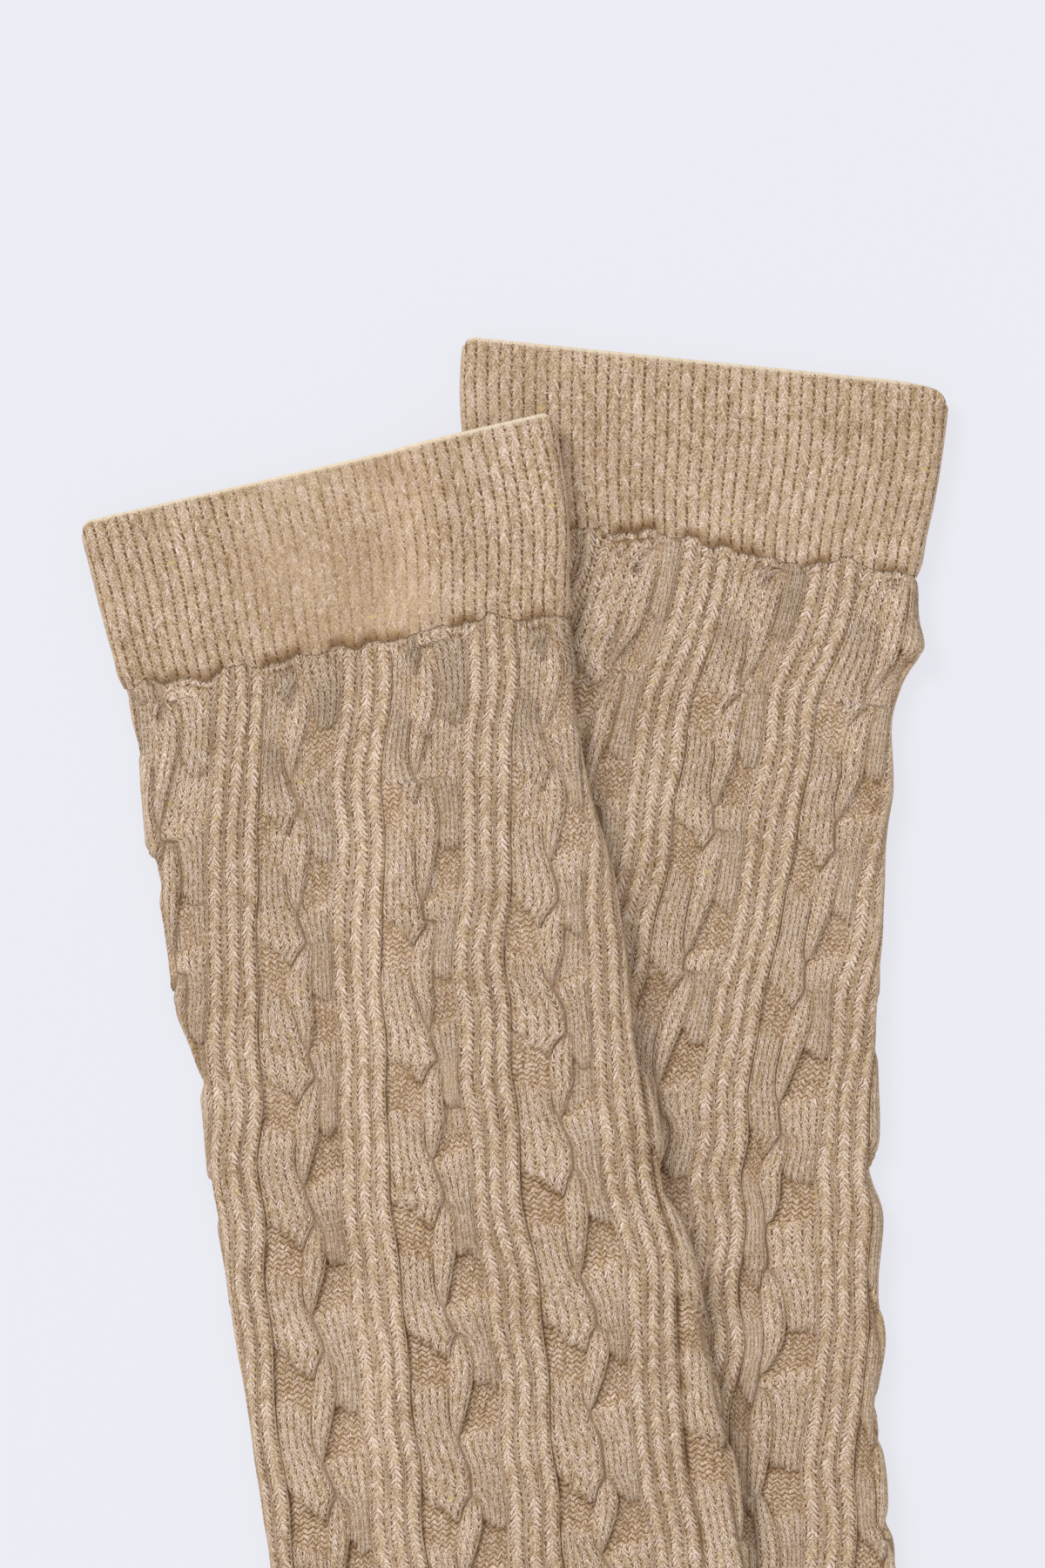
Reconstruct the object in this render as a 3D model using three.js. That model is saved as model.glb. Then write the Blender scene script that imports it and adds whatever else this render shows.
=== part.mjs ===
// A pair of long cable-knit socks laid flat, one partly over the other.
// Millimetres, +Z up: X runs towards the toes, Y towards the cuffs, and the socks lie on Z = 0.
// Each sock is one knitted tube in five pieces: a doubled cuff, a cable-knit leg, a heel pocket,
// a foot and a toe. Laid flat, the front and back of the tube lie on each other.
import * as THREE from 'three';

// The cloth
const WALL = 2.2;           // the cable knit, and the doubled knit of the cuff
const LAYER_GAP = 0.6;      // between the front and back of a flat sock
const MOUTH_GAP = 1.4;      // the same gap at the open top of the cuff
const SEAM_GAP = 0.3;       // where one piece is knitted on to the next
const FLAT = 2 * WALL + LAYER_GAP;

// Where the upper sock climbs on to the lower one
const REST_GAP = 0.4;       // between the two socks where one lies on the other
const RAMP_MARGIN = 4;      // the climb ends this far outside the lower sock's edge
const RAMP_RUN = 12;        // how far out from there the climb starts

// The bend at the ankle, the same in both socks
const CROOK_RADIUS = 12;    // how tightly the front of the ankle turns
const HEEL_SECTIONS = [     // swing: degrees turned from leg to foot; reach: width from crook to heel
  { swing: 0, reach: 80.5 },
  { swing: 10, reach: 82 },
  { swing: 20, reach: 86 },
  { swing: 28, reach: 90.5 },
  { swing: 35, reach: 92.5 },
  { swing: 42, reach: 90 },
  { swing: 50, reach: 84.5 },
  { swing: 60, reach: 79.2 },
  { swing: 70, reach: 77.5 },
];
const FOOT_SECTIONS = [     // along: distance from the heel; width: the foot laid flat
  { along: 0, width: 77.5 },
  { along: 16, width: 76.5 },
  { along: 34, width: 76 },
  { along: 54, width: 75.5 },
  { along: 76, width: 76 },
  { along: 98, width: 76.5 },
  { along: 116, width: 76 },
];
const TOE_SECTIONS = [      // along: distance from the foot; width: narrowing to the closing seam
  { along: 0, width: 76 },
  { along: 13, width: 74 },
  { along: 26, width: 66 },
  { along: 36, width: 54 },
  { along: 42, width: 40 },
];

// The two socks from their mouths to their ankles. x, y: the middle of a section; width: the sock
// laid flat; turn: degrees that the section's line is turned from straight across.
const UPPER_SOCK = {
  name: 'upper',
  cuff: [
    { x: -36.6, y: 55.9, width: 86.8, turn: 13.0 },
    { x: -34.7, y: 46.5, width: 86.2, turn: 11.4 },
    { x: -33.0, y: 36.5, width: 84.6, turn: 10.2 },
    { x: -31.3, y: 23.1, width: 80.6, turn: 8.8 },
  ],
  leg: [
    { x: -31.3, y: 23.1, width: 80.6, turn: 8.8 },
    { x: -29.5, y: 12.6, width: 79.2, turn: 9.4 },
    { x: -28.3, y: 2.3, width: 79.2, turn: 10.1 },
    { x: -26.3, y: -8.3, width: 79.3, turn: 10.3 },
    { x: -23.8, y: -20.0, width: 80.8, turn: 9.9 },
    { x: -21.7, y: -31.5, width: 80.9, turn: 9.8 },
    { x: -19.2, y: -42.8, width: 79.3, turn: 10.4 },
    { x: -17.6, y: -54.3, width: 79.4, turn: 10.5 },
    { x: -15.7, y: -65.8, width: 81.0, turn: 10.4 },
    { x: -13.7, y: -77.3, width: 80.7, turn: 10.5 },
    { x: -10.9, y: -88.8, width: 83.2, turn: 10.1 },
    { x: -8.7, y: -100.2, width: 83.2, turn: 10.3 },
    { x: -6.9, y: -111.8, width: 83.6, turn: 10.3 },
    { x: -4.7, y: -123.1, width: 84.6, turn: 10.4 },
    { x: -2.6, y: -134.5, width: 85.0, turn: 10.4 },
    { x: -0.6, y: -145.5, width: 83.0, turn: 10.4 },
    { x: 1.5, y: -156.5, width: 80.5, turn: 10.4 },
  ],
};
const LOWER_SOCK = {
  name: 'lower',
  cuff: [
    { x: 32.6, y: 74.8, width: 87.2, turn: -5.8 },
    { x: 31.8, y: 65.0, width: 87.0, turn: -6.3 },
    { x: 31.3, y: 55.0, width: 84.6, turn: -6.7 },
    { x: 31.0, y: 41.7, width: 79.6, turn: -7.1 },
  ],
  leg: [
    { x: 31.0, y: 41.7, width: 79.6, turn: -7.1 },
    { x: 29.8, y: 29.2, width: 80.2, turn: -6.6 },
    { x: 26.5, y: 16.5, width: 80.1, turn: -6.1 },
    { x: 25.6, y: 3.8, width: 80.4, turn: -5.5 },
    { x: 24.9, y: -9.2, width: 80.2, turn: -4.4 },
    { x: 24.4, y: -22.3, width: 80.1, turn: -3.3 },
    { x: 23.5, y: -35.2, width: 80.1, turn: -2.4 },
    { x: 23.3, y: -48.3, width: 80.0, turn: -1.3 },
    { x: 23.5, y: -61.2, width: 79.8, turn: -0.6 },
    { x: 22.8, y: -69.0, width: 78.8, turn: 0 },
    { x: 24.1, y: -76.9, width: 80.2, turn: 0 },
    { x: 23.3, y: -89.2, width: 79.8, turn: 0 },
    { x: 24.2, y: -98.5, width: 80.4, turn: 0 },
    { x: 23.1, y: -110.0, width: 80.1, turn: 0 },
    { x: 24.2, y: -122.7, width: 80.8, turn: 0.5 },
    { x: 25.6, y: -136.0, width: 81.1, turn: 0.9 },
    { x: 26.0, y: -148.0, width: 80.5, turn: 0.9 },
  ],
};

// Facets: columns across the flat of a section, and a quarter round at each side fold
const FLAT_COLUMNS = 10;
const FOLD_ANGLES = [0, 45];

const COLOURS = { cuff: 0xbca289, leg: 0xb2997f, heel: 0xb59c82, foot: 0xb2997f, toe: 0xb59c82 };

const across = (section) => new THREE.Vector2(1, 0).rotateAround(
  new THREE.Vector2(), THREE.MathUtils.degToRad(section.turn));

// The way the tube runs through a section, from its cuff towards its toe.
const onward = (section) => {
  const side = across(section);
  return new THREE.Vector2(side.y, -side.x);
};

// A section moved along its tube by a distance.
const moved = (section, distance) => {
  const way = onward(section).multiplyScalar(distance);
  return { ...section, x: section.x + way.x, y: section.y + way.y };
};

// The point of a section at a distance from its middle.
const pointAcross = (section, distance) => across(section).multiplyScalar(distance)
  .add(new THREE.Vector2(section.x, section.y));

// The heel's sections fan out round a point just in front of the ankle.
function heelSections(ankle) {
  const pivot = pointAcross(ankle, ankle.width / 2 + CROOK_RADIUS);
  return HEEL_SECTIONS.map(({ swing, reach }) => {
    const turned = { x: pivot.x, y: pivot.y, width: reach, turn: ankle.turn + swing };
    const middle = pointAcross(turned, -CROOK_RADIUS - reach / 2);
    return { ...turned, x: middle.x, y: middle.y };
  });
}

// A straight run of sections onward from a first one.
const straightSections = (first, rows) =>
  rows.map(({ along, width }) => ({ ...moved(first, along), width }));

// All the sections of a sock, piece by piece.
function sockSections(sock) {
  const heel = heelSections(sock.leg.at(-1));
  const foot = straightSections(heel.at(-1), FOOT_SECTIONS);
  const toe = straightSections(foot.at(-1), TOE_SECTIONS);
  return { cuff: sock.cuff, leg: sock.leg, heel, foot, toe };
}

// Each piece stops half a seam gap short of its neighbours.
function withSeams(sections, opensAtStart, closesAtEnd) {
  const first = opensAtStart ? sections[0] : moved(sections[0], SEAM_GAP / 2);
  const last = closesAtEnd ? sections.at(-1) : moved(sections.at(-1), -SEAM_GAP / 2);
  return [first, ...sections.slice(1, -1), last];
}

// The sock's outline on the table, from its sections' two ends.
function outline(pieces) {
  const sections = Object.values(pieces).flat();
  const left = sections.map((section) => pointAcross(section, -section.width / 2));
  const right = sections.map((section) => pointAcross(section, section.width / 2));
  return [...left, ...right.reverse()];
}

// The distance from a point to a closed outline, nought inside it.
function distanceOutside(point, corners) {
  let inside = false;
  let nearest = Infinity;
  corners.forEach((a, i) => {
    const b = corners[(i + 1) % corners.length];
    const side = b.clone().sub(a);
    const offset = point.clone().sub(a);
    const share = side.lengthSq() > 0 ? offset.dot(side) / side.lengthSq() : 0;
    const foot = a.clone().addScaledVector(side, THREE.MathUtils.clamp(share, 0, 1));
    nearest = Math.min(nearest, foot.distanceTo(point));
    const crosses = (a.y > point.y) !== (b.y > point.y);
    if (crosses && point.x < a.x + side.x * (point.y - a.y) / side.y) inside = !inside;
  });
  return inside ? 0 : nearest;
}

// Columns of a section from its left fold to its right one. flat: the place across the flat part,
// -1 to 1; out: how far out round the fold; up: how far from the middle of the thickness.
function sectionColumns() {
  const fold = FOLD_ANGLES.map(THREE.MathUtils.degToRad)
    .map((angle) => ({ out: Math.cos(angle), up: Math.sin(angle) }));
  const left = fold.map(({ out, up }) => ({ flat: -1, out: -out, up }));
  const right = fold.map(({ out, up }) => ({ flat: 1, out, up })).reverse();
  const middle = Array.from({ length: FLAT_COLUMNS + 1 },
    (_, i) => ({ flat: 2 * i / FLAT_COLUMNS - 1, out: 0, up: 1 }));
  return [...left, ...middle, ...right];
}
const COLUMNS = sectionColumns();

// A section's ring: its underside from left to right, then its top side back again. The radius is
// that of the side folds, so it is half the thickness of the whole ring.
function ring(section, radius, liftAt) {
  const flatHalf = (section.width - FLAT) / 2;
  const place = ({ flat, out, up }, side) => {
    const plan = pointAcross(section, flat * flatHalf + out * radius);
    return new THREE.Vector3(plan.x, plan.y, liftAt(plan) + FLAT / 2 + side * up * radius);
  };
  const underside = COLUMNS.map((column) => place(column, -1));
  const topside = COLUMNS.slice(1, -1).reverse().map((column) => place(column, 1));
  return [...underside, ...topside];
}

// The tube wall through a piece's sections: an outer and an inner skin, joined by a rim at each
// open end or closed by two caps at the toe.
function tubeWall(sections, { mouth = false, closed = false }, liftAt) {
  const innerRadius = LAYER_GAP / 2;
  const mouthRadius = mouth ? MOUTH_GAP / 2 : innerRadius;
  const outer = sections.map((section) => ring(section, FLAT / 2, liftAt));
  const innerSections = closed ? [...sections.slice(0, -1), moved(sections.at(-1), -WALL)] : sections;
  const inner = innerSections.map((section, i) => ring(section, i ? innerRadius : mouthRadius, liftAt));

  const points = [...outer, ...inner].flat();
  const size = outer[0].length;
  const steps = sections.length - 1;
  const outerIndex = (row, column) => row * size + (column % size);
  const innerIndex = (row, column) => (steps + 1) * size + outerIndex(row, column);
  const faces = [];
  const quad = (a, b, c, d) => faces.push(a, b, c, a, c, d);

  for (let row = 0; row < steps; row += 1) {
    for (let k = 0; k < size; k += 1) {
      quad(outerIndex(row, k), outerIndex(row, k + 1), outerIndex(row + 1, k + 1), outerIndex(row + 1, k));
      quad(innerIndex(row, k), innerIndex(row + 1, k), innerIndex(row + 1, k + 1), innerIndex(row, k + 1));
    }
  }
  for (let k = 0; k < size; k += 1) {
    quad(outerIndex(0, k), innerIndex(0, k), innerIndex(0, k + 1), outerIndex(0, k + 1));
    if (!closed) {
      quad(outerIndex(steps, k), outerIndex(steps, k + 1), innerIndex(steps, k + 1), innerIndex(steps, k));
    }
  }
  if (closed) {
    const last = COLUMNS.length - 1;
    for (let k = 0; k < last; k += 1) {
      const cap = (index) => {
        const low = [index(steps, k), index(steps, k + 1)];
        const high = [index(steps, size - k), index(steps, size - k - 1)];
        return { low, high };
      };
      const end = cap(outerIndex);
      const pocket = cap(innerIndex);
      if (k < last - 1) {
        faces.push(end.low[0], end.low[1], end.high[1]);
        faces.push(pocket.low[0], pocket.high[1], pocket.low[1]);
      }
      if (k > 0) {
        const from = k < last - 1 ? 'high' : 'low';
        faces.push(end.low[0], end[from][1], end.high[0]);
        faces.push(pocket.low[0], pocket.high[0], pocket[from][1]);
      }
    }
  }

  const geometry = new THREE.BufferGeometry().setFromPoints(points);
  geometry.setIndex(faces);
  geometry.computeVertexNormals();
  return geometry;
}

function sockPiece(sock, piece, sections, liftAt) {
  const ends = { mouth: piece === 'cuff', closed: piece === 'toe' };
  const geometry = tubeWall(withSeams(sections, ends.mouth, ends.closed), ends, liftAt);
  const material = new THREE.MeshStandardMaterial({ color: COLOURS[piece], roughness: 0.95, metalness: 0 });
  const mesh = new THREE.Mesh(geometry, material);
  mesh.name = `${sock.name}_${piece}`;
  return mesh;
}

function buildSock(sock, liftAt) {
  const group = new THREE.Group();
  for (const [piece, sections] of Object.entries(sockSections(sock))) {
    group.add(sockPiece(sock, piece, sections, liftAt));
  }
  return group;
}

// The upper sock lies on the table, and on the lower sock wherever that is under it.
const lowerOutline = outline(sockSections(LOWER_SOCK));
const onTable = () => 0;
const onLowerSock = (plan) => {
  const away = distanceOutside(plan, lowerOutline) - RAMP_MARGIN;
  return (FLAT + REST_GAP) * (1 - THREE.MathUtils.smoothstep(away, 0, RAMP_RUN));
};

const pair = new THREE.Group();
pair.add(buildSock(LOWER_SOCK, onTable), buildSock(UPPER_SOCK, onLowerSock));

// The origin is under the middle of the pair.
const box = new THREE.Box3().setFromObject(pair);
const middle = box.getCenter(new THREE.Vector3());
pair.position.set(-middle.x, -middle.y, -box.min.z);

export default pair;
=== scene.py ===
import bmesh
import bpy
import numpy as np
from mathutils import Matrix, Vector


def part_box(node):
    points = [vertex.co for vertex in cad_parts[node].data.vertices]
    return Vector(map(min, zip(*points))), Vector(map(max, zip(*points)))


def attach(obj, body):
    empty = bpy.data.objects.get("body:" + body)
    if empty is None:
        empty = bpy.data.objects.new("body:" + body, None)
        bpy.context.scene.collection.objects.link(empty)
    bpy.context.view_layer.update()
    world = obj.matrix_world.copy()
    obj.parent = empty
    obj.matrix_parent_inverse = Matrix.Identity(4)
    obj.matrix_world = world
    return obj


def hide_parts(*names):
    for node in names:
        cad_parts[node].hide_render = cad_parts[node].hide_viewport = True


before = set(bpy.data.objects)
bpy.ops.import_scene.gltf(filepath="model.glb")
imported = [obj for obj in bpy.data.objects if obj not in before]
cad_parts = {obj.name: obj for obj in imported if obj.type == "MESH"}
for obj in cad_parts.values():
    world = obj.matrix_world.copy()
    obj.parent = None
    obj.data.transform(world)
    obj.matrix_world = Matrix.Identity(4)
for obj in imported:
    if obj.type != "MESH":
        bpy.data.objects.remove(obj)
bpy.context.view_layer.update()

# ---- The cuffs -------------------------------------------
# Each cuff is a doubled welt of fine rib, knitted first, turned in on itself and joined to the
# leg, in soft heathered wool. This part also settles how both flat tubes lie, since the upper
# sock is draped over the whole outline of the lower one.
MM = 0.001             # sizes are in millimetres up to the mesh, which is in metres
WALL = 2.2             # thickness of the cloth
MOUTH_WALL = 1.8       # the same at the mouth, which stands a little open
REST_GAP = 0.4         # between the socks where one lies on the other
RAMP_MARGIN = 4.0      # the upper sock's climb ends this far outside the lower sock's edge
RAMP_RUN = 12.0        # and starts this much further out
CROOK_RADIUS = 12.0    # how tightly the front of the ankle turns
SEAM_GAP = 0.3         # between the cuff and the leg, under the cuff's lip
TABLE_GAP = 0.03       # the least height of any cloth above the table
OUTLINE_STEPS = 110    # points along each side of a sock's outline
INNER_STEP = 12.0      # from one row of the mesh to the next inside a tube
END_TURN = np.linspace(0, np.pi, 7)[1:-1]     # angles of the rows round a wall's end

low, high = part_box("lower_cuff")
FLAT = (high.z - low.z) / MM

# The lie of each tube from mouth to ankle: x, y of a section's middle, its width laid flat, and
# the turn of its line in degrees. Four rows for the cuff, then the leg.
LIE = {
    "lower": [
        (32.6, 74.8, 87.2, -5.8), (31.8, 65.0, 87.0, -6.3), (31.3, 55.0, 84.6, -6.7),
        (31.0, 41.7, 79.6, -7.1), (29.8, 29.2, 80.2, -6.6), (26.5, 16.5, 80.1, -6.1),
        (25.6, 3.8, 80.4, -5.5), (24.9, -9.2, 80.2, -4.4), (24.4, -22.3, 80.1, -3.3),
        (23.5, -35.2, 80.1, -2.4), (23.3, -48.3, 80.0, -1.3), (23.5, -61.2, 79.8, -0.6),
        (22.8, -69.0, 78.8, 0.0), (24.1, -76.9, 80.2, 0.0), (23.3, -89.2, 79.8, 0.0),
        (24.2, -98.5, 80.4, 0.0), (23.1, -110.0, 80.1, 0.0), (24.2, -122.7, 80.8, 0.5),
        (25.6, -136.0, 81.1, 0.9), (26.0, -148.0, 80.5, 0.9),
    ],
    "upper": [
        (-36.6, 55.9, 86.8, 13.0), (-34.7, 46.5, 86.2, 11.4), (-33.0, 36.5, 84.6, 10.2),
        (-31.3, 23.1, 80.6, 8.8), (-29.5, 12.6, 79.2, 9.4), (-28.3, 2.3, 79.2, 10.1),
        (-26.3, -8.3, 79.3, 10.3), (-23.8, -20.0, 80.8, 9.9), (-21.7, -31.5, 80.9, 9.8),
        (-19.2, -42.8, 79.3, 10.4), (-17.6, -54.3, 79.4, 10.5), (-15.7, -65.8, 81.0, 10.4),
        (-13.7, -77.3, 80.7, 10.5), (-10.9, -88.8, 83.2, 10.1), (-8.7, -100.2, 83.2, 10.3),
        (-6.9, -111.8, 83.6, 10.3), (-4.7, -123.1, 84.6, 10.4), (-2.6, -134.5, 85.0, 10.4),
        (-0.6, -145.5, 83.0, 10.4), (1.5, -156.5, 80.5, 10.4),
    ],
}
HEEL_FAN = [(10, 82.0), (20, 86.0), (28, 90.5), (35, 92.5), (42, 90.0), (50, 84.5), (60, 79.2),
            (70, 77.5)]     # degrees turned from the leg, and the width from crook to heel
FOOT_WIDTHS = [(16, 76.5), (34, 76.0), (54, 75.5), (76, 76.0), (98, 76.5), (116, 76.0)]
TOE_WIDTHS = [(13, 74.0), (26, 66.0), (36, 54.0), (42, 40.0)]
PIECE_ROWS = {"cuff": (0, 3), "leg": (3, 19), "heel": (19, 27), "foot": (27, 33), "toe": (33, 37)}


def whole_lie(rows):
    """All sections of a sock: the leg's, then the heel's fanned out round a point just in front of
    the ankle, then the foot's and the toe's straight on along the last heading."""
    rows = [tuple(row) for row in rows]
    x, y, width, turn = rows[-1]
    side = np.radians(turn)
    pivot = np.array([x, y]) + (width / 2 + CROOK_RADIUS) * np.array([np.cos(side), np.sin(side)])
    for swing, reach in HEEL_FAN:
        side = np.radians(turn + swing)
        middle = pivot - (CROOK_RADIUS + reach / 2) * np.array([np.cos(side), np.sin(side)])
        rows.append((middle[0], middle[1], reach, turn + swing))
    for widths in (FOOT_WIDTHS, TOE_WIDTHS):
        x, y, _, turn = rows[-1]
        side = np.radians(turn)
        rows += [(x + along * np.sin(side), y - along * np.cos(side), width, turn)
                 for along, width in widths]
    return np.array(rows)


class Sock:
    """One sock's lie: its sections, how far each is along the tube, and the climb under it."""

    def __init__(self, name, shift):
        self.name = name
        self.rows = whole_lie(LIE[name]) + [*shift, 0, 0]
        steps = np.hypot(*np.diff(self.rows[:, :2], axis=0).T)
        self.along = np.concatenate([[0], np.cumsum(steps)])

    def sections(self, v):
        """x, y, width and turn at distances v along the tube: Catmull-Rom's cubic through the
        rows, so that the edges run smoothly from section to section."""
        place = np.interp(v, self.along, np.arange(len(self.rows)))
        before = np.clip(place.astype(int), 0, len(self.rows) - 2)
        t = (place - before)[..., None]
        last = len(self.rows) - 1
        a, b, c, d = (self.rows[np.clip(before + step, 0, last)] for step in (-1, 0, 1, 2))
        curve = 2 * b + (c - a) * t + (2 * a - 5 * b + 4 * c - d) * t**2
        return np.moveaxis((curve + (3 * b - a - 3 * c + d) * t**3) / 2, -1, 0)

    def girth(self, v):
        """All round the tube's skin: two flats and two half-round folds."""
        return 2 * (self.sections(v)[2] - FLAT) + np.pi * FLAT


def lie_shift():
    """From the table's own axes to the frame's: the lower cuff's top left corner is matched to
    the CAD's box."""
    x, y, width, turn = np.array(LIE["lower"][:4]).T
    left_x = x - width / 2 * np.cos(np.radians(turn))
    left_y = y - width / 2 * np.sin(np.radians(turn))
    return low.x / MM - left_x.min(), high.y / MM - left_y.max()


lower = Sock("lower", lie_shift())
upper = Sock("upper", lie_shift())


def outline(sock):
    """The sock's outline on the table: its sections' left ends, then its right ends back."""
    x, y, width, turn = sock.sections(np.linspace(0, sock.along[-1], OUTLINE_STEPS))
    across = np.stack([np.cos(np.radians(turn)), np.sin(np.radians(turn))], -1) * width[:, None] / 2
    middle = np.stack([x, y], -1)
    return np.concatenate([middle - across, (middle + across)[::-1]])


def smooth(t):
    """Rises from 0 to 1 with level ends: three squares less two cubes."""
    t = np.clip(t, 0, 1)
    return t * t * (3 - 2 * t)


def climb(sock, x, y):
    """How far a point of the cloth is lifted. The lower sock lies on the table. The upper one
    rises by the lower one's thickness, as a smooth step of the distance to its outline."""
    if sock is lower:
        return 0 * x
    corners = outline(lower)
    nearest = np.full(x.shape, np.inf)
    inside = np.zeros(x.shape, bool)
    for (ax, ay), (bx, by) in zip(corners, np.roll(corners, -1, axis=0)):
        dx, dy = bx - ax, by - ay
        share = np.clip(((x - ax) * dx + (y - ay) * dy) / (dx * dx + dy * dy), 0, 1)
        nearest = np.minimum(nearest, np.hypot(ax + share * dx - x, ay + share * dy - y))
        if ay != by:
            inside ^= ((ay > y) != (by > y)) & (x < ax + dx * (y - ay) / dy)
    away = np.where(inside, 0, nearest) - RAMP_MARGIN
    return (FLAT + REST_GAP) * (1 - smooth(away / RAMP_RUN))


def skin(sock, v, s, depth):
    """Points of a sock's cloth, in metres: v along the tube, s round it from the middle of the
    front, and a depth below its outer skin. A section is a stadium: flat front and back and a
    half-round fold at each side."""
    x, y, width, turn = sock.sections(v)
    straight = (width - FLAT) / 2
    beyond = np.abs(s) - straight
    angle = np.clip(beyond / (FLAT / 2), 0, np.pi)
    radius = FLAT / 2 - depth
    past = np.maximum(beyond - np.pi * FLAT / 2, 0)
    across = np.sign(s) * (np.minimum(np.abs(s), straight) + radius * np.sin(angle) - past)
    turn = np.radians(turn)
    x = x + across * np.cos(turn)
    y = y + across * np.sin(turn)
    z = np.maximum(FLAT / 2 + radius * np.cos(angle), TABLE_GAP) + climb(sock, x, y)
    return np.stack([x, y, z], -1) * MM


def wall_rows(start, stop, step, start_wall=WALL, start_step=None, end_power=1.0):
    """The wall's section along the tube, as a closed ring of rows (v, depth, share of relief):
    down the outer skin, round the end, back up the inner skin and round the start. Rows lie a
    step apart, or a finer one over the first stretch. The ends are half circles of half the
    wall's thickness, and a power below one makes them squarer."""
    half = WALL / 2
    first = start_wall / 2
    outer = np.arange(start + first, stop - half, step)
    if start_step:
        fine = np.arange(start + first, start + 6 * start_wall, start_step)
        outer = np.concatenate([fine, outer[outer > fine[-1] + start_step]])
    inner_rows = max(4, int((stop - start) / INNER_STEP))
    inner = np.linspace(stop - half, start + first, inner_rows)
    bulge = np.sin(END_TURN) ** end_power
    v = np.concatenate([outer, stop - half + half * bulge, inner, start + first - first * bulge])
    inner_depth = np.linspace(WALL, start_wall, len(inner))
    level = np.cos(END_TURN)
    depth = np.concatenate([0 * outer, half * (1 - level), inner_depth, first * (1 + level)])
    share = np.concatenate([1 + 0 * outer, smooth((1 + level) / 2), 0 * inner,
                            smooth((1 - level) / 2)])
    return v[:, None], depth[:, None], share[:, None]


def waviness(seed, v, s, size):
    """A soft unevenness between about -1 and 1: six seeded sine waves of about one size, each
    with its own heading and phase."""
    draw = np.random.default_rng(seed)
    total = 0
    for heading, length, phase in zip(draw.uniform(0, np.pi, 6), draw.uniform(0.7, 1.6, 6),
                                      draw.uniform(0, 2 * np.pi, 6)):
        wave = 2 * np.pi / (size * length)
        total = total + np.sin(wave * (v * np.cos(heading) + s * np.sin(heading)) + phase)
    return total / 3


def knit_mesh(name, points, wales, courses, masks, wales_round, close_rows=True):
    """A mesh of quads from a grid of points whose last column lies on the first one, wrapped
    round its rows too unless it has two ends. Its UV map counts stitches: u in wales, which may
    start again at nought once round, and v in courses. Masks are point attributes."""
    points = points[:, :-1]
    rows, across = points.shape[:2]
    down = rows if close_rows else rows - 1
    i, j = np.meshgrid(np.arange(down), np.arange(across), indexing="ij")
    below, right = (i + 1) % rows, (j + 1) % across
    quads = np.stack([i * across + j, i * across + right, below * across + right,
                      below * across + j], -1).reshape(-1, 4)[:, ::-1]
    mesh = bpy.data.meshes.new(name)
    mesh.vertices.add(rows * across)
    mesh.vertices.foreach_set("co", np.ascontiguousarray(points).reshape(-1))
    mesh.loops.add(quads.size)
    mesh.loops.foreach_set("vertex_index", quads.reshape(-1))
    mesh.polygons.add(len(quads))
    mesh.polygons.foreach_set("loop_start", np.arange(0, quads.size, 4))
    mesh.polygons.foreach_set("use_smooth", np.ones(len(quads), bool))
    mesh.update(calc_edges=True)
    corner_rows = np.stack([i, i, i + 1, i + 1], -1)[..., ::-1]
    corner_columns = np.stack([j, j + 1, j + 1, j], -1)[..., ::-1]
    wales = np.concatenate([wales, wales[:1]])[corner_rows, corner_columns]
    wales = wales - wales_round * np.round((wales - wales[..., :1]) / wales_round)
    courses = np.concatenate([courses, courses[-1:]])[corner_rows, corner_columns]
    uv = np.stack([wales, courses], -1)
    mesh.uv_layers.new(name="stitches").data.foreach_set("uv", uv.reshape(-1))
    for mask, values in masks.items():
        attribute = mesh.attributes.new(mask, "FLOAT", "POINT")
        attribute.data.foreach_set("value", np.ascontiguousarray(values[:, :-1]).reshape(-1))
    piece = bpy.data.objects.new(name, mesh)
    bpy.context.collection.objects.link(piece)
    return piece


class Value:
    """A number in a material. Arithmetic on it adds Math nodes to that material."""

    def __init__(self, tree, socket):
        self.tree = tree
        self.socket = socket

    def math(self, operation, *others):
        """One Math node on this value and any others, in order."""
        return add_node(self.tree, "ShaderNodeMath", {"operation": operation},
                        dict(enumerate([self, *others])))

    def __add__(self, other):
        return self.math("ADD", other)

    def __sub__(self, other):
        return self.math("SUBTRACT", other)

    def __rsub__(self, other):
        return (self * -1).math("ADD", other)

    def __mul__(self, other):
        return self.math("MULTIPLY", other)

    def __pow__(self, other):
        return self.math("POWER", other)

    __radd__ = __add__
    __rmul__ = __mul__


def set_stops(ramp, places):
    """A ramp's colours at their places: its own two stops take the first and the last."""
    first, *middle, last = places
    for stop, (position, colour) in zip(ramp.elements, (first, last)):
        stop.position = position
        stop.color = colour
    for position, colour in middle:
        ramp.elements.new(position).color = colour


def add_node(tree, kind, settings, sockets, output=0):
    """Any node: its settings first, a ramp's stops among them, then the values or links of its
    sockets. Gives one output."""
    node = tree.nodes.new(kind)
    for key, value in settings.items():
        if key == "stops":
            set_stops(node.color_ramp, value)
        else:
            setattr(node, key, value)
    for key, value in sockets.items():
        if isinstance(value, Value):
            tree.links.new(value.socket, node.inputs[key])
        else:
            node.inputs[key].default_value = value
    return Value(tree, node.outputs[output])


def ridge(value):
    """A soft ridge once in each whole number: half of one plus the cosine."""
    return (value * (2 * np.pi)).math("COSINE") * 0.5 + 0.5


def noise(at, scale, detail, flat=False, roughness=0.5):
    """Soft noise between 0 and 1, in space or over a flat pattern."""
    settings = {"noise_dimensions": "2D" if flat else "3D"}
    return add_node(at.tree, "ShaderNodeTexNoise", settings,
                    {"Vector": at, "Scale": scale, "Detail": detail, "Roughness": roughness})


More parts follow.
